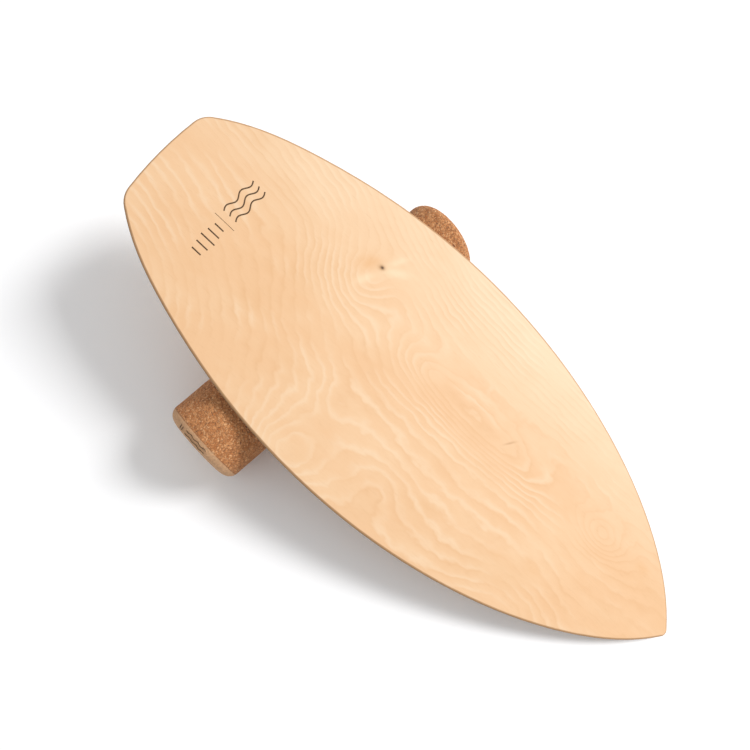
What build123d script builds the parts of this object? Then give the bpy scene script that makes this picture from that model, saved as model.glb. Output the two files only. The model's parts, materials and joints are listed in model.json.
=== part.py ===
from build123d import *
import os
from math import acos, atan2, cos, degrees, hypot, radians, sin

# Balance board: a surfboard-shaped plywood deck that rolls on a loose cork roller.
# Millimetres. +Y runs along the roller, +X across it towards the deck's pointed nose,
# +Z up. The floor is Z = 0, and the origin is on it, under the middle of the object's box.
# The deck is modelled flat in its own frame: +X runs along its centre line to the nose,
# Z = 0 is its underside, and the origin is where the centre line crosses the roller.
# lean() turns it to the loose roller's heading and tilts it, nose down on the floor.

# ---- deck ----
DECK_LENGTH = 762.0
NOSE_REACH = 516.0  # roller to the nose, along the centre line
DECK_HEADING = 6.6  # degrees that the loose roller lies off square to the centre line
PLY_COUNT = 9
PLY_THICKNESS = 4.0 / 3.0
DECK_THICKNESS = PLY_COUNT * PLY_THICKNESS
EDGE_ROUNDING = 3.0
NOSE_ROUNDING = 8.0
TAIL_ROUNDING = 26.0
TAIL_BULGE = 4.0  # how far the tail's edge bows out at its middle
# distance from the nose, half width: the side of the outline, with its corners still sharp
SIDE_POINTS = [
    (-3.0, 0.0),
    (28.0, 32.8),
    (78.0, 68.3),
    (152.0, 104.0),
    (252.0, 134.2),
    (402.0, 152.0),
    (552.0, 139.5),
    (652.0, 113.5),
    (718.0, 86.0),
    (DECK_LENGTH - TAIL_BULGE, 58.0),
]

# ---- roller ----
ROLLER_RADIUS = 50.0
ROLLER_LENGTH = 380.0
ROLLER_OFFSET = -11.0  # the loose roller's middle, from the deck's centre line
ROLLER_ROUNDING = 13.0
SPIN_GAP = 0.3  # between surfaces that turn past each other
CORE_RADIUS = 30.0
CORE_WALL = 4.0
CORE_INSET = 10.0  # core tube's end to the roller's end face
PLUG_LENGTH = 40.0
DISC_RADIUS = 34.0
DISC_THICKNESS = 8.0

# ---- M6 fastening ----
FIT_GAP = 0.1
BOLT_RADIUS = 3.0
BOLT_REACH = 8.0  # shank inside the insert
BOLT_HOLE_RADIUS = 3.3
HEAD_RADIUS = 5.0
HEAD_HEIGHT = 6.0
SOCKET_ACROSS_FLATS = 5.0
SOCKET_DEPTH = 3.0
SOCKET_SIDES = 6
WASHER_RADIUS = 6.0
WASHER_THICKNESS = 1.6
INSERT_RADIUS = 4.2
INSERT_PLIES = 7  # plies that an insert's hole goes through
INSERT_HOLE_DEPTH = INSERT_PLIES * PLY_THICKNESS
FLANGE_RADIUS = 6.5
FLANGE_THICKNESS = 1.0

# ---- stops under the deck ----
ROLL_TRAVEL = 230.0
ROLLER_GAP = 0.3  # between the roller and what it bears on
STOP_HEIGHT = 22.0
STOP_WIDTH = 30.0
STOP_LENGTH = 190.0
STOP_ROUNDING = 3.0
COUNTERBORE_DEPTH = 10.0
COUNTERBORE_RADIUS = WASHER_RADIUS + 0.5
BOLT_SPACING = 130.0
INSERT_ROWS = 3
ROW_STEP = 35.0
BUFFER_THICKNESS = 4.0
BUFFER_HEIGHT = 16.0
BUFFER_LENGTH = 170.0
BUFFER_LOW = 20.0  # the buffer's lower edge, below the deck

# ---- worked out ----
HEADING = radians(DECK_HEADING)
BEARING_RADIUS = ROLLER_RADIUS + ROLLER_GAP
ROLLER_BITE = (BEARING_RADIUS**2 - (BEARING_RADIUS - BUFFER_LOW) ** 2) ** 0.5
# a buffer meets the turned roller at one end
BUFFER_REACH = (ROLLER_BITE + BUFFER_LENGTH / 2 * sin(HEADING)) / cos(HEADING)
STOP_REACH = BUFFER_REACH + BUFFER_THICKNESS + STOP_WIDTH / 2


def upright(radius, low, high, x=0.0, y=0.0):
    """A cylinder that stands on Z, from low to high."""
    middle = (low + high) / 2
    return Pos(x, y, middle) * Cylinder(radius, high - low)


def along_y(radius, start, end):
    """A cylinder that lies along Y, between start and end."""
    return Pos(0, (start + end) / 2, 0) * Rot(90, 0, 0) * Cylinder(radius, abs(end - start))


def deck_outline():
    points = [(NOSE_REACH - distance, half) for distance, half in SIDE_POINTS]
    left = Spline(*points)
    right = mirror(left, about=Plane.XZ)
    corner = points[-1]
    tail = ThreePointArc(corner, (NOSE_REACH - DECK_LENGTH, 0), (corner[0], -corner[1]))
    face = make_face(Curve() + [left, tail, right])
    nose = face.vertices().sort_by(Axis.X)[-1]
    face = fillet(nose, NOSE_ROUNDING)
    tail_corners = face.vertices().sort_by(Axis.X)[:2]
    return fillet(tail_corners, TAIL_ROUNDING)


def floor_tilt(reach):
    """Tilt at which a rounded end, this far from the roller, meets the floor."""
    rise = BEARING_RADIUS + EDGE_ROUNDING
    run = reach - EDGE_ROUNDING
    spin = acos((EDGE_ROUNDING - ROLLER_RADIUS) / hypot(rise, run))
    return degrees(spin - atan2(run, rise))


def deck_blank():
    blank = extrude(deck_outline(), DECK_THICKNESS)
    levels = blank.faces().sort_by(Axis.Z)
    return fillet(levels[0].edges() + levels[-1].edges(), EDGE_ROUNDING)


def bolt_places(x):
    return [(x, -BOLT_SPACING / 2), (x, BOLT_SPACING / 2)]


def insert_rows(side):
    """X of each row of inserts for one stop; side is +1 for the nose, -1 for the tail."""
    start = ROLL_TRAVEL / cos(HEADING) if side > 0 else 0.0
    return [start + side * (STOP_REACH + row * ROW_STEP) for row in range(INSERT_ROWS)]


def insert_places(side):
    return [place for x in insert_rows(side) for place in bolt_places(x)]


def insert_holes():
    holes = []
    for x, y in insert_places(1) + insert_places(-1):
        holes.append(upright(INSERT_RADIUS + FIT_GAP, 0, INSERT_HOLE_DEPTH, x, y))
        holes.append(upright(FLANGE_RADIUS + FIT_GAP, 0, FLANGE_THICKNESS, x, y))
    return holes


def plies():
    """The back veneer, the core plies and the face veneer, from the underside up."""
    rest = deck_blank() - insert_holes()
    names = ["back_veneer", *[f"core_ply_{n}" for n in range(1, PLY_COUNT - 1)]]
    sheets = {}
    for number, name in enumerate(names):
        cut = Plane.XY.offset((number + 1) * PLY_THICKNESS)
        sheets[name] = split(rest, cut, keep=Keep.BOTTOM)
        rest = split(rest, cut, keep=Keep.TOP)
    return {**sheets, "face_veneer": rest}


def insert(x, y):
    body = upright(INSERT_RADIUS, 0, INSERT_HOLE_DEPTH - FIT_GAP, x, y)
    body += upright(FLANGE_RADIUS, 0, FLANGE_THICKNESS, x, y)
    return body - upright(BOLT_RADIUS + FIT_GAP, 0, INSERT_HOLE_DEPTH, x, y)


def stop_bar(x):
    bar = Pos(x, 0, -STOP_HEIGHT / 2) * Box(STOP_WIDTH, STOP_LENGTH, STOP_HEIGHT)
    bar = fillet(bar.edges().group_by(Axis.Z)[0], STOP_ROUNDING)
    for _, y in bolt_places(x):
        bar -= upright(BOLT_HOLE_RADIUS, -STOP_HEIGHT, 0, x, y)
        bar -= upright(COUNTERBORE_RADIUS, -STOP_HEIGHT, COUNTERBORE_DEPTH - STOP_HEIGHT, x, y)
    return bar


def buffer_strip(x):
    middle = BUFFER_HEIGHT / 2 - BUFFER_LOW
    return Pos(x, 0, middle) * Box(BUFFER_THICKNESS, BUFFER_LENGTH, BUFFER_HEIGHT)


def washer(x, y):
    top = COUNTERBORE_DEPTH - STOP_HEIGHT
    ring = upright(WASHER_RADIUS, top - WASHER_THICKNESS, top, x, y)
    return ring - upright(BOLT_HOLE_RADIUS, top - WASHER_THICKNESS, top, x, y)


def bolt(x, y):
    seat = COUNTERBORE_DEPTH - STOP_HEIGHT - WASHER_THICKNESS
    body = upright(HEAD_RADIUS, seat - HEAD_HEIGHT, seat, x, y)
    body += upright(BOLT_RADIUS, seat, BOLT_REACH, x, y)
    hexagon = RegularPolygon(SOCKET_ACROSS_FLATS / 2, SOCKET_SIDES, major_radius=False)
    return body - Pos(x, y, seat - HEAD_HEIGHT) * extrude(hexagon, SOCKET_DEPTH)


def stop_parts(side, end):
    """The stop at one end of the roller's travel, with what holds it."""
    x = insert_rows(side)[0]
    inner = x - side * (STOP_WIDTH + BUFFER_THICKNESS) / 2
    return {
        f"{end}_stop_bar": stop_bar(x),
        f"{end}_stop_buffer": buffer_strip(inner),
        f"{end}_stop_bolts": Compound(children=[bolt(*place) for place in bolt_places(x)]),
        f"{end}_stop_washers": Compound(children=[washer(*place) for place in bolt_places(x)]),
        f"{end}_inserts": Compound(children=[insert(*place) for place in insert_places(side)]),
    }


def cork_sleeve():
    half = ROLLER_LENGTH / 2
    body = along_y(ROLLER_RADIUS, -half, half)
    body = fillet(body.edges().filter_by(GeomType.CIRCLE), ROLLER_ROUNDING)
    body -= along_y(CORE_RADIUS + SPIN_GAP, -half, half)
    for side in (-1, 1):
        body -= along_y(DISC_RADIUS + FIT_GAP, side * half, side * (half - DISC_THICKNESS))
    return body


def end_disc(side):
    half = side * ROLLER_LENGTH / 2
    return along_y(DISC_RADIUS, half - side * DISC_THICKNESS, half)


def core_tube():
    half = ROLLER_LENGTH / 2 - CORE_INSET
    return along_y(CORE_RADIUS, -half, half) - along_y(CORE_RADIUS - CORE_WALL, -half, half)


def core_plug(side):
    end = side * (ROLLER_LENGTH / 2 - CORE_INSET)
    radius = CORE_RADIUS - CORE_WALL - SPIN_GAP
    return along_y(radius, end - side * PLUG_LENGTH, end)


def roller_parts():
    return {
        "cork_sleeve": cork_sleeve(),
        "right_end_disc": end_disc(-1),
        "left_end_disc": end_disc(1),
        "core_tube": core_tube(),
        "right_core_plug": core_plug(-1),
        "left_core_plug": core_plug(1),
    }


def heading():
    return Location((0, 0, 0), (0, 0, DECK_HEADING))


def tilts():
    """Degrees from level at which the nose, and the tail after a full roll, meet the floor."""
    box = (heading() * deck_outline()).bounding_box()
    return floor_tilt(box.max.X), floor_tilt(ROLL_TRAVEL - box.min.X)


def lean(nose_tilt):
    """From the deck's own frame to its place on the roller, whose axis is the Y axis."""
    tilt = radians(nose_tilt)
    place = (BEARING_RADIUS * sin(tilt), -ROLLER_OFFSET, BEARING_RADIUS * cos(tilt))
    return Location(place, (0, nose_tilt, 0)) * heading()


def middle(shapes, axis):
    """Middle of the shapes' extent along one axis, given as X, Y or Z."""
    boxes = [shape.bounding_box() for shape in shapes]
    low = min(getattr(box.min, axis) for box in boxes)
    return (low + max(getattr(box.max, axis) for box in boxes)) / 2


def build():
    """Every piece by name in the row's frame, the middle of the roller, and both tilts."""
    nose_tilt, tail_tilt = tilts()
    flat = {**plies(), **stop_parts(-1, "tail"), **stop_parts(1, "nose")}
    pieces = {name: lean(nose_tilt) * shape for name, shape in flat.items()}
    pieces.update(roller_parts())
    shapes = pieces.values()
    roller_middle = Vector(-middle(shapes, "X"), -middle(shapes, "Y"), ROLLER_RADIUS)
    pieces = {name: Pos(roller_middle) * shape for name, shape in pieces.items()}
    return pieces, roller_middle, (nose_tilt, tail_tilt)


def main():
    pieces, roller_middle, (nose_tilt, tail_tilt) = build()
    os.makedirs("parts", exist_ok=True)
    for name, shape in pieces.items():
        export_step(shape, f"parts/{name}.step")
    print(f"{len(pieces)} nodes, roller middle {roller_middle}")
    print(f"nose tilt {nose_tilt:.4f}, tilt range {nose_tilt + tail_tilt:.4f}")


main()
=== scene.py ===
import json
import math
from functools import partial
import bmesh
import bpy
from mathutils import Matrix, Vector, noise


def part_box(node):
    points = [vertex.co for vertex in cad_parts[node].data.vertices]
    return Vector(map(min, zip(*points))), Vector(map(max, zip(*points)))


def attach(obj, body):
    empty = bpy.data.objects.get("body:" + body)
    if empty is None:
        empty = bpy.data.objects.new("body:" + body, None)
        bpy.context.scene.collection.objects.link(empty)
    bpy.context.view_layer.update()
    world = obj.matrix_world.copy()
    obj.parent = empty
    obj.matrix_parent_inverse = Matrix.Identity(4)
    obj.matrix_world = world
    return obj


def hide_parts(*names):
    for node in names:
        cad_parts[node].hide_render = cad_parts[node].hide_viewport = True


# Balance board: a birch plywood deck leaning nose-down on a loose cork roller.
# Metres, in the row's frame. Materials and pieces on the deck are laid out in the deck's own
# frame, in millimetres: +X to the nose along its centre line, Z = 0 on its underside.

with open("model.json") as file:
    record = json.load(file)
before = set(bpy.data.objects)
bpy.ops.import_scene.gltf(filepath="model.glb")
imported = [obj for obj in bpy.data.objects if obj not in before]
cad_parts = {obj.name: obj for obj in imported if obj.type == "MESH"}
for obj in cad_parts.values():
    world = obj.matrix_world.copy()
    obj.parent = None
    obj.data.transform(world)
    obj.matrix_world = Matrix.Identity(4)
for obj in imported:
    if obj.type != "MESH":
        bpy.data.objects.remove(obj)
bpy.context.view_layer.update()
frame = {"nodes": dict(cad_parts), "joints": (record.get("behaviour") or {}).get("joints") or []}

MM = 0.001
JOINTS = {joint["name"]: joint for joint in frame["joints"]}
NOISE_SEED = 7
noise.seed_set(NOISE_SEED)  # without it noise_vector is seeded by the clock

# ---- places taken from the frame ----
ROLLER_CENTRE = Vector(JOINTS["roller_spin"]["pos_m"])
UPHILL = Vector(JOINTS["deck_travel"]["axis"])
DECK_TILT = math.atan2(UPHILL.z, -UPHILL.x)
sleeve_low, sleeve_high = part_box("cork_sleeve")
ROLLER_RADIUS = (sleeve_high.z - sleeve_low.z) / 2
ROLLER_LENGTH = sleeve_high.y - sleeve_low.y
disc_low, disc_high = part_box("right_end_disc")
DISC_RADIUS = (disc_high.z - disc_low.z) / 2
DISC_THICKNESS = disc_high.y - disc_low.y
tube_low, tube_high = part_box("core_tube")
TUBE_GAP = 0.3 * MM
SLEEVE_BORE = (tube_high.z - tube_low.z) / 2 + TUBE_GAP

# ---- the deck's own frame, as in the CAD part ----
DECK_HEADING = math.radians(6.6)
ROLLER_GAP = 0.3 * MM
DECK_OFFSET = 11.0 * MM
DECK_THICKNESS = 12.0
PLY_COUNT = 9
PLY_THICKNESS = DECK_THICKNESS / PLY_COUNT

# ---- the cork's surface ----
END_ROUNDING = 13 * MM  # of the sleeve's two ends, as in the CAD part
SKIN_STEP, QUICK_STEP = 1.25 * MM, 1.6 * MM  # mesh spacing
SLEEVE_GRANULE, SLEEVE_RELIEF = 3.0 * MM, 0.28 * MM
DISC_GRANULE, DISC_RELIEF = 2.2 * MM, 0.1 * MM
SAME_PLACE = 0.001 * MM  # vertices nearer than this are one vertex


def deck_frame():
    """The deck frame's place in the row frame, in metres."""
    lift = ROLLER_RADIUS + ROLLER_GAP
    offset = Vector((lift * math.sin(DECK_TILT), DECK_OFFSET, lift * math.cos(DECK_TILT)))
    turn = Matrix.Rotation(DECK_TILT, 4, "Y") @ Matrix.Rotation(DECK_HEADING, 4, "Z")
    return Matrix.Translation(ROLLER_CENTRE + offset) @ turn


DECK = deck_frame()
ROLLER = Matrix.Translation(ROLLER_CENTRE)


# ------------------------------------------------------------------ materials
class Shader:
    """A material being wired up. Each call adds a node and returns its output."""

    def __init__(self, name):
        self.material = bpy.data.materials.new(name)
        self.material.use_nodes = True
        self.nodes = self.material.node_tree.nodes
        self.links = self.material.node_tree.links
        self.surface = self.nodes["Principled BSDF"]

    def put(self, socket, value):
        if isinstance(value, bpy.types.NodeSocket):
            self.links.new(value, socket)
        elif value is not None:
            socket.default_value = value

    def set(self, **values):
        """Sets or links the surface's own sockets, named with _ for a space."""
        for name, value in values.items():
            self.put(self.surface.inputs[name.replace("_", " ")], value)
        return self.material

    def math(self, operation, a, b=None, c=None):
        node = self.nodes.new("ShaderNodeMath")
        node.operation = operation
        for socket, value in zip(node.inputs, (a, b, c)):
            self.put(socket, value)
        return node.outputs[0]

    def vector(self, operation, a, b=None, scale=None):
        node = self.nodes.new("ShaderNodeVectorMath")
        node.operation = operation
        self.put(node.inputs[0], a)
        self.put(node.inputs[1], b)
        self.put(node.inputs[3], scale)
        return node.outputs[1 if operation in ("LENGTH", "DOT_PRODUCT") else 0]

    def split(self, vector):
        node = self.nodes.new("ShaderNodeSeparateXYZ")
        self.put(node.inputs[0], vector)
        return node.outputs

    def place(self, matrix):
        """Object coordinates seen from a frame given by its matrix, in millimetres."""
        source = self.nodes.new("ShaderNodeTexCoord")
        mapping = self.nodes.new("ShaderNodeMapping")
        mapping.vector_type = "TEXTURE"
        self.put(mapping.inputs["Vector"], source.outputs["Object"])
        self.put(mapping.inputs["Location"], matrix.to_translation())
        self.put(mapping.inputs["Rotation"], matrix.to_euler())
        self.put(mapping.inputs["Scale"], (MM, MM, MM))
        return mapping.outputs[0]

    def noise(self, at, size, stretch=(1, 1, 1), detail=3.0, rough=0.55, shift=0.0):
        """Noise from 0 to 1 with features of that size in mm, longer by stretch."""
        node = self.nodes.new("ShaderNodeTexNoise")
        factors = [1 / (size * s) for s in stretch]
        moved = self.vector("ADD", at, (shift, shift * 1.7, shift * 0.6))
        self.put(node.inputs["Vector"], self.vector("MULTIPLY", moved, factors))
        self.put(node.inputs["Scale"], 1.0)
        self.put(node.inputs["Detail"], detail)
        self.put(node.inputs["Roughness"], rough)
        return node.outputs["Fac"]

    def noise_vector(self, at, size):
        """Three-way noise about 0, for pushing a pattern out of true."""
        node = self.nodes.new("ShaderNodeTexNoise")
        self.put(node.inputs["Vector"], self.vector("SCALE", at, scale=1 / size))
        self.put(node.inputs["Scale"], 1.0)
        return self.vector("SUBTRACT", node.outputs["Color"], (0.5, 0.5, 0.5))

    def cells(self, at, size, feature="F1", output="Distance"):
        """Cells of that size in mm: their colours, or distances within them."""
        node = self.nodes.new("ShaderNodeTexVoronoi")
        node.feature = feature
        self.put(node.inputs["Vector"], self.vector("MULTIPLY", at, [1 / size] * 3))
        self.put(node.inputs["Scale"], 1.0)
        return node.outputs[output]

    def ramp(self, value, *stops):
        """Piecewise linear curve through (position, value) stops."""
        node = self.nodes.new("ShaderNodeValToRGB")
        elements = node.color_ramp.elements
        while len(elements) < len(stops):
            elements.new(0.5)
        for element, (position, level) in zip(elements, stops):
            element.position = position
            element.color = (level, level, level, 1) if isinstance(level, float) else (*level, 1)
        self.put(node.inputs[0], value)
        return node.outputs["Color"]

    def mix(self, factor, a, b):
        node = self.nodes.new("ShaderNodeMix")
        node.data_type = "RGBA"
        self.put(node.inputs[0], factor)
        colours = [s for s in node.inputs if s.type == "RGBA"]
        for socket, value in zip(colours, (a, b)):
            self.put(socket, (*value, 1) if isinstance(value, tuple) else value)
        return [s for s in node.outputs if s.type == "RGBA"][0]

    def tint(self, colour, mask, amount, other):
        """The colour moved towards another where the mask is 1, by that amount."""
        return self.mix(self.math("MULTIPLY", mask, amount), colour, other)

    def bump(self, height, distance, strength):
        """A normal from a height of that many millimetres."""
        node = self.nodes.new("ShaderNodeBump")
        self.put(node.inputs["Height"], height)
        self.put(node.inputs["Distance"], distance * MM)
        self.put(node.inputs["Strength"], strength)
        return node.outputs[0]


# The deck's figure. Ring lines are the contours of a height over the sheet, and the bulges are
# where the log's rings rise or dip through it: x, y, half length, half width, rise.
BULGES = (
    (-245, -160, 195, 190, -78),
    (-26, 48, 50, 38, 18),
    (-6, 62, 22, 30, 10),
    (196, 25, 112, 29, 27),
    (112, 29, 34, 13, 6),
    (377, 32, 30, 19, 17),
    (384, 34, 56, 34, 9),
    (55, -62, 24, 20, 7),
    (52, -140, 42, 46, 20),
    (152, -108, 30, 30, -8),
    (345, -150, 60, 70, -22),
)
RING_SPACING, FINE_RING_SPACING = 4.6, 1.53
SWAY, RIPPLE = 14.0, 5.0  # how far broad and small waves push the rings
STEEP_FROM, STEEP_POWER, STEEP_GAIN = 42.0, 1.4, 0.062  # rings crowd towards the +Y side
STAIN, PALE_WOOD, SCORCH = (0.70, 0.38, 0.16), (0.88, 0.72, 0.50), (0.07, 0.035, 0.015)
BROWN = (0.42, 0.22, 0.09)
# the pin knot, its stains and bleached streaks, and flecks:
# (x, y), half length, half width, angle in degrees, colour, amount
WOOD_MARKS = (
    ((-17, 71), 13, 8, 40, STAIN, 0.55),
    ((442, 37), 9, 6, 0, STAIN, 0.35),
    ((10, 82), 15, 4.5, 38, PALE_WOOD, 0.4),
    ((3, 92), 13, 3.5, 60, PALE_WOOD, 0.35),
    ((-11, 54), 4.5, 12, -25, PALE_WOOD, 0.4),
    ((340, -50), 14, 9, 0, STAIN, 0.22),
    ((227, 35), 1.2, 7, -35, BROWN, 0.5),
    ((-5.5, 75.5), 3.6, 2.8, 20, BROWN, 0.9),
    ((-5.0, 75.8), 1.9, 1.5, 0, SCORCH, 1.0),
)


def ring_height(s, at):
    """The height whose contours are the rings."""
    sway = s.math("SUBTRACT", s.noise(at, 80, (2.4, 1, 1), 1.0, shift=230), 0.5)
    ripple = s.math("SUBTRACT", s.noise(at, 15, (1.6, 1, 1), 2.0, shift=8), 0.5)
    x, y, _ = s.split(at)
    climb = s.ramp(s.math("MULTIPLY_ADD", x, 1 / 160, 0.5), (0.0, 0.07), (1.0, 0.22))
    height = s.math("MULTIPLY", s.math("ADD", y, 100.0), climb)
    past = s.math("MAXIMUM", s.math("ADD", y, -STEEP_FROM), 0.0)
    height = s.math("MULTIPLY_ADD", s.math("POWER", past, STEEP_POWER), STEEP_GAIN, height)
    for cx, cy, half_x, half_y, rise in BULGES:
        away = s.vector("SUBTRACT", at, (cx, cy, DECK_THICKNESS))
        away = s.vector("MULTIPLY", away, (1 / half_x, 1 / half_y, 0.0))
        fall = s.math("MULTIPLY", s.vector("DOT_PRODUCT", away, away), -1.0)
        height = s.math("MULTIPLY_ADD", s.math("EXPONENT", fall), rise, height)
    height = s.math("MULTIPLY_ADD", sway, SWAY, height)
    return s.math("MULTIPLY_ADD", ripple, RIPPLE, height)


def birch_face():
    """Rotary-cut birch: rings, pale and warm patches, fibre, pores and a browner rim, with a
    painted sheen that pales it towards the +Y side.
    """
    s = Shader("birch_face")
    at = s.place(DECK)
    height = ring_height(s, at)
    phase = s.math("FRACT", s.math("MULTIPLY", height, 1 / RING_SPACING))
    ring = s.ramp(phase, (0.0, 0.2), (0.25, 0.0), (0.6, 0.3), (0.86, 1.0), (1.0, 0.2))
    glow = s.ramp(phase, (0.0, 0.6), (0.14, 1.0), (0.42, 0.0), (0.88, 0.0), (1.0, 0.6))
    phase_fine = s.math("FRACT", s.math("MULTIPLY", height, 1 / FINE_RING_SPACING))
    fine_ring = s.ramp(phase_fine, (0.0, 0.2), (0.5, 0.35), (0.85, 1.0), (1.0, 0.2))
    fade = s.ramp(s.noise(at, 40, (1.7, 1, 1), 3.0, shift=77), (0.38, 0.1), (0.64, 1.0))
    show = s.ramp(s.noise(at, 50, (1.8, 1, 1), 2.0, shift=12), (0.44, 0.0), (0.64, 1.0))
    pale = s.ramp(s.noise(at, 42, (2.6, 1, 1), 3.0, shift=15), (0.42, 0.0), (0.72, 1.0))
    warm = s.ramp(s.noise(at, 34, (2.2, 1, 1), 4.0, shift=61), (0.5, 0.0), (0.72, 1.0))
    fibre = s.noise(at, 0.55, (60, 1, 1), 2.0, shift=5)
    pores = s.ramp(s.noise(at, 0.8, (14, 1, 1), 2.0, shift=3), (0.6, 0.0), (0.74, 1.0))

    light, plain, tan = (0.79, 0.545, 0.335), (0.765, 0.49, 0.28), (0.64, 0.345, 0.15)
    sheen_pale, bleached, deep = (0.80, 0.60, 0.40), (0.82, 0.64, 0.45), (0.42, 0.23, 0.10)
    colour = s.mix(pale, plain, light)
    _, y, level = s.split(at)
    # painted sheen: the face is painted paler towards its +Y side, standing in for the light's
    # sheen along that edge
    painted_sheen = s.ramp(s.math("MULTIPLY_ADD", y, 1 / 150, 0.1), (0.2, 0.0), (1.0, 1.0))
    colour = s.tint(colour, painted_sheen, 0.8, sheen_pale)
    colour = s.tint(colour, warm, 0.22, (0.68, 0.40, 0.19))
    colour = s.tint(colour, s.math("MULTIPLY", ring, fade), 0.29, tan)
    colour = s.tint(colour, s.math("MULTIPLY", glow, show), 0.5, bleached)
    colour = s.tint(colour, fine_ring, 0.05, tan)
    colour = s.tint(colour, fibre, 0.16, tan)
    colour = s.tint(colour, pores, 0.14, deep)
    colour = birch_marks(s, at, colour)
    inside = s.math("MINIMUM", level, s.math("SUBTRACT", DECK_THICKNESS, level))
    rim = s.ramp(inside, (0.0, 0.0), (0.14, 0.7), (0.5, 1.0))
    edge_grain = s.mix(s.noise(at, 0.9, (9, 1, 1), 3.0), (0.52, 0.29, 0.13), (0.32, 0.16, 0.065))
    colour = s.mix(rim, colour, edge_grain)
    relief = s.math("MULTIPLY_ADD", pores, -0.6, fibre)
    normal = s.bump(relief, 0.04, 0.5)
    rough = s.math("MULTIPLY_ADD", fibre, 0.14, 0.42)
    return s.set(Base_Color=colour, Roughness=rough, Normal=normal, IOR=1.45)


def spot(s, at, centre, half_x, half_y, angle):
    """1 inside a soft-edged ellipse on the deck, 0 outside."""
    turn = Matrix.Rotation(-math.radians(angle), 3, "Z")
    away = s.vector("SUBTRACT", at, (*centre, DECK_THICKNESS))
    along = s.vector("DOT_PRODUCT", away, tuple(turn[0]))
    across = s.vector("DOT_PRODUCT", away, tuple(turn[1]))
    x = s.math("POWER", s.math("ABSOLUTE", s.math("MULTIPLY", along, 1 / half_x)), 2.0)
    y = s.math("POWER", s.math("ABSOLUTE", s.math("MULTIPLY", across, 1 / half_y)), 2.0)
    return s.math("EXPONENT", s.math("MULTIPLY", s.math("ADD", x, y), -1.0))


def birch_marks(s, at, colour):
    """Adds the wood's marks. The stains and streaks have frayed edges."""
    fray = s.noise_vector(at, 9)
    frayed = s.vector("ADD", at, s.vector("SCALE", fray, scale=5.0))
    for centre, half_x, half_y, angle, tint, amount in WOOD_MARKS:
        source = at if tint in (SCORCH, BROWN) else frayed
        mask = s.math("MULTIPLY", spot(s, source, centre, half_x, half_y, angle), amount)
        colour = s.mix(mask, colour, tint)
    return colour


def ply_edge(name, crosswise):
    """A core ply's cut edge: long fibres or end grain, between dark glue lines."""
    s = Shader(name)
    at = s.place(DECK)
    stretch = (1, 9, 1) if crosswise else (9, 1, 1)
    fibre = s.noise(at, 0.8, stretch, 3.0, shift=4)
    broad = s.noise(at, 22, (1, 1, 0.2), 3.0, shift=9)
    _, _, z = s.split(at)
    level = s.math("FRACT", s.math("MULTIPLY", z, 1 / PLY_THICKNESS))
    off_middle = s.math("ABSOLUTE", s.math("ADD", level, -0.5))
    glue = s.ramp(off_middle, (0.40, 0.0), (0.49, 1.0))
    shade = 0.62 if crosswise else 1.0
    base = tuple(c * shade for c in (0.56, 0.36, 0.19))
    dark = tuple(c * 0.55 for c in base)
    colour = s.tint(base, fibre, 0.75, dark)
    colour = s.tint(colour, broad, 0.35, (0.42, 0.25, 0.12))
    colour = s.tint(colour, glue, 0.8, (0.11, 0.05, 0.02))
    height = s.math("MULTIPLY_ADD", glue, -0.8, fibre)
    return s.set(Base_Color=colour, Roughness=0.62, Normal=s.bump(height, 0.12, 0.8))


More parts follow.
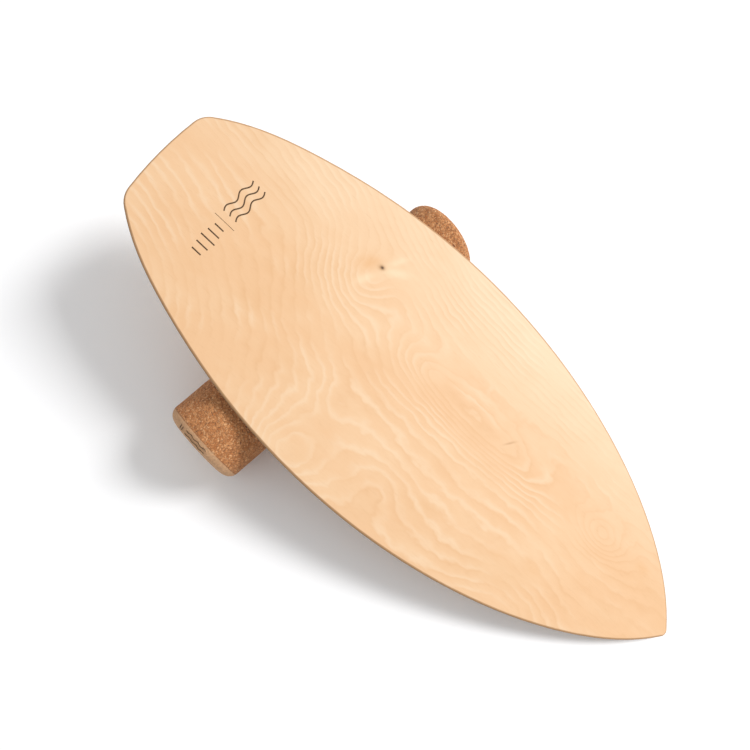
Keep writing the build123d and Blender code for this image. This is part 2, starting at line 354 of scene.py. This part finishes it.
def cork(name, granule, light, dark, contrast):
    """Pressed cork: granules in mixed tones, seams, bark specks and pale flecks. The
    rounded right-hand end is painted paler and greyer as a painted sheen, edged by a painted
    shade line."""
    s = Shader(name)
    at = s.place(ROLLER)
    _, along, _ = s.split(at)
    half, reach = ROLLER_LENGTH / 2 / MM, 20.0
    push = s.noise_vector(at, granule * 1.1)
    at = s.vector("ADD", at, s.vector("SCALE", push, scale=granule * 1.3))
    tone = s.split(s.cells(at, granule, output="Color"))[0]
    small = s.split(s.cells(at, granule * 0.45, output="Color"))[1]
    seam = s.ramp(s.cells(at, granule, "DISTANCE_TO_EDGE"), (0.0, 1.0), (0.12, 0.0))
    seam_small = s.ramp(s.cells(at, granule * 0.45, "DISTANCE_TO_EDGE"), (0.0, 1.0), (0.2, 0.0))
    grit = s.noise(at, 0.7, detail=4.0, rough=0.7)
    patch = s.noise(at, 26, detail=2.0, shift=44)
    speck = s.ramp(s.noise(at, granule * 0.7, detail=2.0, shift=19), (0.60, 0.0), (0.66, 1.0))
    fleck = s.ramp(s.noise(at, granule * 0.8, detail=2.0, shift=57), (0.56, 0.0), (0.64, 1.0))
    colour = s.mix(tone, light, dark)
    colour = s.tint(colour, patch, 0.3 * contrast, dark)
    colour = s.tint(colour, small, 0.4 * contrast, dark)
    colour = s.tint(colour, grit, 0.25, tuple(c * 0.6 for c in dark))
    colour = s.tint(colour, fleck, 0.6 * contrast, (0.90, 0.54, 0.27))
    colour = s.tint(colour, seam_small, 0.3 * contrast, (0.17, 0.07, 0.025))
    colour = s.tint(colour, seam, 0.55 * contrast, (0.14, 0.055, 0.02))
    colour = s.tint(colour, speck, 0.7 * contrast, (0.09, 0.035, 0.015))
    from_end = s.math("ADD", along, half)
    # painted sheen: the right-hand (-Y) end and its rounding are painted paler and greyer,
    # standing in for the key light's sheen there
    painted_end_sheen = s.ramp(s.math("MULTIPLY", from_end, 1 / reach), (0.52, 1.0), (0.58, 0.0))
    line = s.math("MULTIPLY", from_end, 1 / reach)
    # painted shade: a dark line painted round the roller near where its right-hand rounding
    # starts, standing in for shade in a crease the mesh doesn't have
    painted_shade_line = s.ramp(line, (0.54, 0.0), (0.57, 1.0), (0.64, 0.0))
    colour = s.tint(colour, painted_end_sheen, 0.62, (0.66, 0.42, 0.24))
    colour = s.tint(colour, painted_shade_line, 0.45 * contrast, (0.16, 0.07, 0.03))
    height = s.math("MULTIPLY_ADD", seam, -1.0, s.math("MULTIPLY", seam_small, -0.5))
    height = s.math("MULTIPLY_ADD", grit, 0.7, height)
    return s.set(Base_Color=colour, Roughness=0.82, Normal=s.bump(height, 0.3 * contrast, 0.9))


def beech():
    """Planed beech with fine flecks, its grain along the bar."""
    s = Shader("beech")
    at = s.place(DECK)
    grain = s.noise(at, 3.2, (1, 22, 1), 4.0, shift=6)
    fleck = s.ramp(s.noise(at, 0.9, (1, 5, 1), 1.0, shift=2), (0.62, 0.0), (0.68, 1.0))
    broad = s.noise(at, 18, (1, 6, 1), 2.0, shift=40)
    colour = s.mix(grain, (0.64, 0.40, 0.21), (0.46, 0.26, 0.12))
    colour = s.tint(colour, broad, 0.4, (0.68, 0.45, 0.25))
    colour = s.tint(colour, fleck, 0.6, (0.26, 0.12, 0.05))
    height = s.math("MULTIPLY_ADD", fleck, -0.7, grain)
    rough = s.math("MULTIPLY_ADD", grain, 0.2, 0.42)
    return s.set(Base_Color=colour, Roughness=rough, Normal=s.bump(height, 0.07, 0.7))


def zinc():
    """Bright zinc plate with handling marks."""
    s = Shader("zinc_steel")
    at = s.place(DECK)
    cloud = s.noise(at, 2.5, detail=4.0)
    scratch = s.ramp(s.noise(at, 0.25, (18, 1, 1), 2.0), (0.6, 0.0), (0.7, 1.0))
    colour = s.mix(cloud, (0.70, 0.70, 0.68), (0.52, 0.52, 0.50))
    rough = s.math("MULTIPLY_ADD", cloud, 0.22, 0.22)
    return s.set(
        Base_Color=colour, Metallic=1.0, Roughness=rough, Normal=s.bump(scratch, 0.01, 0.5)
    )


def tube_plastic():
    """Dull grey moulded plastic, faintly streaked."""
    s = Shader("core_tube")
    at = s.place(ROLLER)
    grain = s.noise(at, 1.2, (1, 8, 1), 3.0)
    colour = s.mix(grain, (0.20, 0.19, 0.18), (0.27, 0.26, 0.24))
    return s.set(Base_Color=colour, Roughness=0.6, Normal=s.bump(grain, 0.05, 0.5))


def burnt():
    """Wood scorched by a marking laser, browner where the burn is lighter."""
    s = Shader("burnt_mark")
    at = s.place(DECK)
    patch = s.noise(at, 1.4, detail=4.0)
    lighter = s.ramp(patch, (0.35, 0.0), (0.75, 1.0))
    colour = s.mix(lighter, (0.055, 0.027, 0.010), (0.17, 0.09, 0.035))
    return s.set(Base_Color=colour, Roughness=0.8, Normal=s.bump(patch, 0.05, 0.6))


def paint(material, *nodes):
    """Gives CAD nodes a material."""
    for name in nodes:
        piece = frame["nodes"][name]
        piece.data.materials.clear()
        piece.data.materials.append(material)


# ------------------------------------------------------------------ pieces
def finish_piece(mesh, name, body, material):
    """A mesh as a piece that rides on a body, shaded smooth."""
    mesh.validate()
    for polygon in mesh.polygons:
        polygon.use_smooth = True
    piece = bpy.data.objects.new(name, mesh)
    bpy.context.scene.collection.objects.link(piece)
    mesh.materials.append(material)
    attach(piece, body)
    return piece


def spaced(start, end, step):
    """Points from start up to, but not including, end, about a step apart."""
    count = max(1, round((Vector(end) - Vector(start)).length / step))
    return [Vector(start).lerp(Vector(end), i / count) for i in range(count)]


def arc(centre, radius, start, end, step):
    """Points round an arc up to, but not including, its end, about a step apart."""
    count = max(2, round(abs(end - start) * radius / step))
    angles = [start + (end - start) * i / count for i in range(count)]
    return [Vector(centre) + radius * Vector((math.cos(a), math.sin(a))) for a in angles]


def granules(point, size):
    """0 in the middle of a cork granule, 1 on the seam between two."""
    push = noise.noise_vector(point / (size * 1.4)) * size * 0.55
    near = noise.voronoi((point + push) / size)[0]
    return math.exp(-(((near[1] - near[0]) / 0.16) ** 2))


def cork_relief(point, size, depth):
    """How far a cork surface stands out from its true shape at a point, in metres."""
    swell = noise.fractal(point / (6 * size), 1.0, 2.0, 3) * 0.25
    return depth * (swell - granules(point, size))


def close_up(mesh):
    """Joins vertices at the same place and turns every face of a closed mesh outward."""
    shape = bmesh.new()
    shape.from_mesh(mesh)
    bmesh.ops.remove_doubles(shape, verts=shape.verts, dist=SAME_PLACE)
    bmesh.ops.recalc_face_normals(shape, faces=shape.faces)
    shape.to_mesh(mesh)
    shape.free()


def turned(name, profile, columns, relief):
    """A closed mesh turned about the roller's axis. The profile is (radius, y, skin)
    rows; a row with skin 1 is pushed along its outward normal by relief(point)."""
    rows, around = len(profile), 2 * math.pi / columns
    vertices = []
    for i, (radius, y, skin) in enumerate(profile):
        before, after = profile[i - 1], profile[(i + 1) % rows]
        along = Vector((after[0] - before[0], after[1] - before[1])).normalized()
        outward = Vector((along.y, -along.x))
        for j in range(columns):
            direction = Vector((math.cos(j * around), 0, math.sin(j * around)))
            point = direction * radius + Vector((0, y, 0))
            if skin:
                push = skin * relief(point)
                point += direction * (outward.x * push) + Vector((0, outward.y * push, 0))
            vertices.append(ROLLER_CENTRE + point)
    faces = []
    for i in range(rows):
        k = (i + 1) % rows
        if profile[i][0] == profile[k][0] == 0:
            continue  # both rows are on the axis, with no wall between them
        for j in range(columns):
            m = (j + 1) % columns
            faces.append((i * columns + j, i * columns + m, k * columns + m, k * columns + j))
    mesh = bpy.data.meshes.new(name)
    mesh.from_pydata(vertices, [], faces)
    close_up(mesh)
    return mesh


def sleeve_profile(step):
    """Round the sleeve's section: outside, rim, end face, disc seat, bore and back."""
    half, rim = ROLLER_LENGTH / 2, END_ROUNDING
    seat = DISC_RADIUS + 0.1 * MM
    lip = 0.5 * MM
    flank = ROLLER_RADIUS
    outside = spaced((flank, -half + rim), (flank, half - rim), step)
    top = arc((flank - rim, half - rim), rim, 0, math.pi / 2, step)
    top += spaced((flank - rim, half), (seat + lip, half), step)
    skin = [(p.x, p.y, 1.0) for p in outside + top]
    inside = [
        (seat + lip, half, 0.6),
        (seat, half - lip, 0.0),
        (seat, half - DISC_THICKNESS, 0.0),
        (SLEEVE_BORE, half - DISC_THICKNESS, 0.0),
    ]
    far = [(r, -y, s) for r, y, s in reversed(inside)]
    bottom = [(p.x, -p.y, 1.0) for p in reversed(top[1:])]
    return skin + inside + far + bottom


def disc_profile(side, step):
    """The end disc's section: a face with a softened rim, a side and a back."""
    face = side * ROLLER_LENGTH / 2
    back = face - side * DISC_THICKNESS
    lip = 0.6 * MM
    front = spaced((0, face), (DISC_RADIUS - lip, face), step)
    rows = [(0, face, 0.0)] + [(p.x, p.y, 1.0) for p in front[1:]]
    rows += [(DISC_RADIUS - lip, face, 0.5), (DISC_RADIUS, face - side * lip, 0.0)]
    rows += [(DISC_RADIUS, back, 0.0), (0, back, 0.0)]
    return rows if side < 0 else rows[::-1]


def roller(coarse, fine):
    """The cork sleeve and its two end discs, with real granule relief."""
    step = SKIN_STEP
    columns = round(2 * math.pi * ROLLER_RADIUS / step)
    profile = sleeve_profile(step)
    relief = partial(cork_relief, size=SLEEVE_GRANULE, depth=SLEEVE_RELIEF)
    mesh = turned("cork_skin", profile, columns, relief)
    sleeve = finish_piece(mesh, "cork_skin", "roller", coarse)
    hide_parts("cork_sleeve")
    for side, end in ((-1, "right"), (1, "left")):
        profile = disc_profile(side, step)
        relief = partial(cork_relief, size=DISC_GRANULE, depth=DISC_RELIEF)
        mesh = turned("disc", profile, columns, relief)
        disc = finish_piece(mesh, f"{end}_cork_disc", "roller", fine)
        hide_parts(f"{end}_end_disc")


def ribbon(vertices, faces, path, width, low, high):
    """Adds a flat closed strip along a path of (x, y) points, from low to high in Z."""
    first = len(vertices)
    for i, (x, y) in enumerate(path):
        before, after = path[max(i - 1, 0)], path[min(i + 1, len(path) - 1)]
        along = Vector((after[0] - before[0], after[1] - before[1])).normalized()
        side = Vector((-along.y, along.x)) * width / 2
        for sign, z in ((1, low), (1, high), (-1, high), (-1, low)):
            vertices.append(Vector((x + side.x * sign, y + side.y * sign, z)))
    for i in range(len(path) - 1):
        a, b = first + 4 * i, first + 4 * i + 4
        for k in range(4):
            m = (k + 1) % 4
            faces.append((a + k, b + k, b + m, a + m))
    end = first + 4 * (len(path) - 1)
    faces.append((first, first + 1, first + 2, first + 3))
    faces.append((end + 3, end + 2, end + 1, end))


def wave(x, y, length, height, waves, count=48):
    """A wavy stroke along -Y with its middle at (x, y)."""
    path = []
    for i in range(count + 1):
        t = i / count
        swing = height * math.sin(2 * math.pi * waves * t)
        path.append((x + swing, y + length * (0.5 - t)))
    return path


def mark_mesh(name, strokes, low, high, place):
    """Closed strips for (path, width) strokes, each vertex put where place(vertex) says."""
    vertices, faces = [], []
    for path, width in strokes:
        ribbon(vertices, faces, path, width, low, high)
    mesh = bpy.data.meshes.new(name)
    mesh.from_pydata([place(v) for v in vertices], [], faces)
    close_up(mesh)
    return mesh


def deck_mark(material):
    """A plain burnt-in mark near the tail: three waves, a rule and a scale of ticks."""
    middle, stroke, proud = -153, 1.5, 0.05
    strokes = [(wave(middle + 8 * k, 24, 44, 2.2, 2), stroke) for k in (-1, 0, 1)]
    strokes.append(([(-166, -6), (-140, -6)], 0.5))
    for k in range(5):
        reach, y = 9 - 1.6 * abs(k - 2), -14 - 8.5 * k
        strokes.append(([(middle - reach, y), (middle + reach, y)], stroke))
    low, high = DECK_THICKNESS - proud, DECK_THICKNESS + proud
    mesh = mark_mesh("deck_mark", strokes, low, high, lambda v: DECK @ (v * MM))
    finish_piece(mesh, "deck_mark", "deck", material)


def on_rounding(v):
    """A point laid on the sleeve's right-hand rounding: X across it, Y round the roller."""
    rim = END_ROUNDING / MM
    lean = math.radians(42) + v.x / rim
    radius = ROLLER_RADIUS / MM - rim + (rim + v.z) * math.cos(lean)
    out = ROLLER_LENGTH / 2 / MM - rim + (rim + v.z) * math.sin(lean)
    turn = math.radians(86) + v.y / radius
    point = Vector((radius * math.cos(turn), -out, radius * math.sin(turn)))
    return ROLLER_CENTRE + point * MM


def roller_mark(material):
    """Two short waves and two ticks burnt round the roller's right-hand rounded edge, painted
    paler there as sheen.
    """
    strokes = [(wave(2.3 * k - 0.6, -3, 30, 0.7, 3), 0.6) for k in (-1, 1)]
    strokes += [([(-2.6, y), (2.6, y)], 1.2) for y in (18, 21.5)]
    mesh = mark_mesh("roller_mark", strokes, -0.1, 0.35, on_rounding)
    finish_piece(mesh, "roller_mark", "roller", material)


# ------------------------------------------------------------------ stage
def floor():
    """A white sheet far larger than the view."""
    half = 30.0  # metres
    mesh = bpy.data.meshes.new("floor")
    corners = [(-half, -half, 0), (half, -half, 0), (half, half, 0), (-half, half, 0)]
    mesh.from_pydata(corners, [], [(0, 1, 2, 3)])
    sheet = bpy.data.objects.new("floor", mesh)
    bpy.context.scene.collection.objects.link(sheet)
    s = Shader("floor_white")
    mesh.materials.append(s.set(Base_Color=(0.96, 0.965, 0.975, 1), Roughness=0.9))


def area_light(name, towards, distance, size, power):
    """A square soft light that faces the middle of the object."""
    target = Vector((0, 0, 0.05))
    data = bpy.data.lights.new(name, "AREA")
    data.size = size
    data.energy = power
    light = bpy.data.objects.new(name, data)
    bpy.context.scene.collection.objects.link(light)
    direction = Vector(towards).normalized()
    light.location = target + direction * distance
    light.rotation_mode = "QUATERNION"
    light.rotation_quaternion = direction.to_track_quat("Z", "Y")


def lights():
    """One large soft key from the far right, and an even white surround."""
    area_light("key", towards=(0.42, 0.91, 0.86), distance=5.0, size=1.6, power=236)
    world = bpy.data.worlds.new("studio")
    world.use_nodes = True
    background = world.node_tree.nodes["Background"]
    background.inputs["Color"].default_value = (1.0, 1.0, 1.0, 1)
    background.inputs["Strength"].default_value = 0.62
    bpy.context.scene.world = world
    bpy.context.scene.view_settings.view_transform = "Standard"


def camera():
    """Almost overhead, a little to the nose's right."""
    azimuth, elevation, roll = (math.radians(a) for a in (43.42, 82.48, 4.94))
    distance, aim = 0.7032, Vector((-0.0142, -0.0662, 0))
    back = Vector((
        math.sin(azimuth) * math.cos(elevation),
        -math.cos(azimuth) * math.cos(elevation),
        math.sin(elevation),
    ))
    right = Vector((math.cos(azimuth), math.sin(azimuth), 0))
    upright = Matrix((right, back.cross(right), back)).transposed()
    data = bpy.data.cameras.new("camera")
    data.sensor_width = 36.0
    data.lens = 27.76
    data.shift_x, data.shift_y = 0.0267, 0.12
    data.clip_start = 0.01
    view = bpy.data.objects.new("camera", data)
    bpy.context.scene.collection.objects.link(view)
    turn = upright @ Matrix.Rotation(roll, 3, "Z")
    view.matrix_world = Matrix.Translation(aim + back * distance) @ turn.to_4x4()
    bpy.context.scene.camera = view


# ------------------------------------------------------------------ build
def build():
    """Gives every CAD node its material and adds the pieces made here."""
    paint(birch_face(), "face_veneer", "back_veneer")
    along, across = ply_edge("ply_along", False), ply_edge("ply_across", True)
    for number in range(1, PLY_COUNT - 1):
        paint(across if number % 2 else along, f"core_ply_{number}")
    coarse = cork("cork", 3.2, (0.78, 0.37, 0.145), (0.47, 0.165, 0.045), 1.0)
    fine = cork("cork_fine", 2.0, (0.72, 0.46, 0.26), (0.50, 0.29, 0.145), 0.5)
    wood, steel = beech(), zinc()
    for end in ("tail", "nose"):
        paint(wood, f"{end}_stop_bar")
        paint(fine, f"{end}_stop_buffer")
        paint(steel, f"{end}_stop_bolts", f"{end}_stop_washers", f"{end}_inserts")
    paint(tube_plastic(), "core_tube")
    paint(wood, "right_core_plug", "left_core_plug")
    roller(coarse, fine)
    scorched = burnt()
    deck_mark(scorched)
    roller_mark(scorched)


build()
floor()
lights()
camera()
